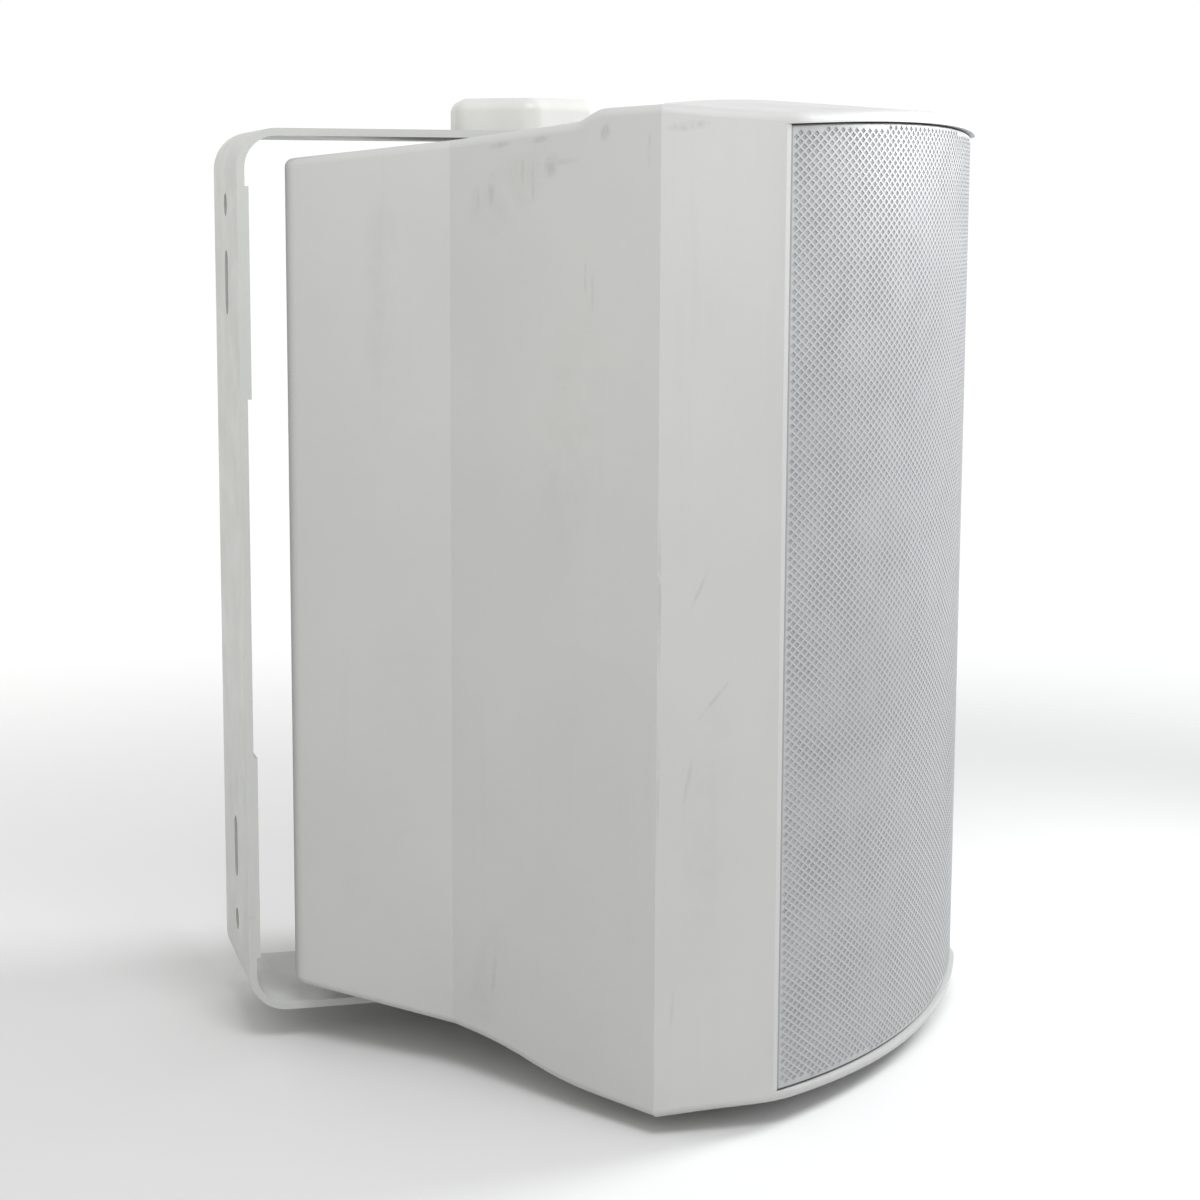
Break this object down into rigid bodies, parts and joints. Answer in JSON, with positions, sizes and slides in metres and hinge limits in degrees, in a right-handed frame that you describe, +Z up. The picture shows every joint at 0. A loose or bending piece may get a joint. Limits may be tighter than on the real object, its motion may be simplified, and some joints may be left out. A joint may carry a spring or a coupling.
{
  "type": "wall-mounted two-way loudspeaker",
  "caption": "White wall loudspeaker with faceted cabinet, curved perforated grille and a strap bracket that it swivels in between two clamp knobs.",
  "frame": {"origin": "middle of the bracket's wall face", "axes": "+Z up, +Y into the wall, front of the bracket towards -Y; the cabinet rests turned about 41 degrees to one side"},
  "size_m": [0.2264, 0.2411, 0.2942],
  "materials": {
    "white_painted_steel": "satin white paint",
    "white_abs": "fine moulded texture",
    "white_knob_plastic": "satin moulded",
    "black_rubber": "matt",
    "zinc_steel": "zinc plated",
    "black_painted_steel": "black paint",
    "ferrite": "dull sintered",
    "cone_paper": "pressed paper",
    "coil_copper": "enamelled copper",
    "black_abs": "fine moulded texture",
    "red_abs": "moulded",
    "dome_silk": "coated silk",
    "grey_cloth": "acoustic cloth",
    "board_green": "glass-fibre board",
    "component_grey": "moulded case",
    "core_steel": "varnished laminations",
    "brass": "turned"
  },
  "bodies": {
    "bracket": {"bracket_strap": "white_painted_steel", "upper_stiffener": "white_painted_steel", "lower_stiffener": "white_painted_steel", "upper_washer": "black_rubber", "lower_washer": "black_rubber"},
    "cabinet": {"grille": "white_painted_steel", "rear_cabinet": "white_abs", "front_baffle": "white_abs", "seam_seal": "black_rubber", "woofer_gasket": "black_rubber", "woofer_surround": "black_rubber", "cabinet_screws": "zinc_steel", "woofer_screws": "zinc_steel", "tweeter_screws": "zinc_steel", "crossover_screws": "zinc_steel", "transformer_screws": "zinc_steel", "cup_screws": "zinc_steel", "terminal_pin": "zinc_steel", "woofer_top_plate": "zinc_steel", "woofer_yoke": "zinc_steel", "woofer_basket": "black_painted_steel", "woofer_magnet": "ferrite", "tweeter_magnet": "ferrite", "woofer_spider": "cone_paper", "crossover_inductor": "coil_copper", "transformer_coil": "coil_copper", "tweeter_faceplate": "black_abs", "terminal_cup": "black_abs", "terminal_block": "black_abs", "tap_switch": "black_abs", "tweeter_dome": "dome_silk", "grille_cloth": "grey_cloth", "crossover_board": "board_green", "crossover_capacitor": "component_grey", "crossover_resistor": "component_grey", "transformer_core": "core_steel", "upper_insert": "brass", "lower_insert": "brass"},
    "upper_clamp": {"upper_knob": "white_knob_plastic", "upper_stud": "zinc_steel"},
    "lower_clamp": {"lower_knob": "white_knob_plastic", "lower_stud": "zinc_steel"},
    "woofer_moving_parts": {"woofer_cone": "cone_paper", "woofer_dust_cap": "cone_paper", "woofer_voice_coil": "coil_copper"},
    "red_terminal": {"red_lever": "red_abs"},
    "black_terminal": {"black_lever": "black_abs"},
    "tap_selector": {"tap_knob": "black_abs"}
  },
  "joints": [
    {"name": "cabinet_swivel", "type": "hinge", "parent": "bracket", "child": "cabinet", "pos_m": [0, -0.095, 0], "axis": [0, 0, 1], "range_deg": [-34.4, 115.6]},
    {"name": "upper_clamp_turn", "type": "hinge", "parent": "cabinet", "child": "upper_clamp", "pos_m": [0, -0.095, 0.137], "axis": [0, 0, 1], "continuous": true},
    {"name": "lower_clamp_turn", "type": "hinge", "parent": "cabinet", "child": "lower_clamp", "pos_m": [0, -0.095, -0.137], "axis": [0, 0, 1], "continuous": true},
    {"name": "woofer_excursion", "type": "slide", "parent": "cabinet", "child": "woofer_moving_parts", "axis": [-0.6508, -0.7593, 0], "range_m": [-0.003, 0.003], "stiffness_N_per_m": 1200},
    {"name": "red_lever_press", "type": "hinge", "parent": "cabinet", "child": "red_terminal", "pos_m": [0.00549, -0.05018, -0.069], "axis": [0.7593, -0.6508, 0], "range_deg": [0, 14], "stiffness_Nm_per_rad": 0.15},
    {"name": "black_lever_press", "type": "hinge", "parent": "cabinet", "child": "black_terminal", "pos_m": [0.01764, -0.06059, -0.069], "axis": [0.7593, -0.6508, 0], "range_deg": [0, 14], "stiffness_Nm_per_rad": 0.15},
    {"name": "tap_select", "type": "hinge", "parent": "cabinet", "child": "tap_selector", "pos_m": [0.03341, -0.08676, -0.06], "axis": [0.6508, 0.7593, 0], "range_deg": [-60, 60]}
  ]
}
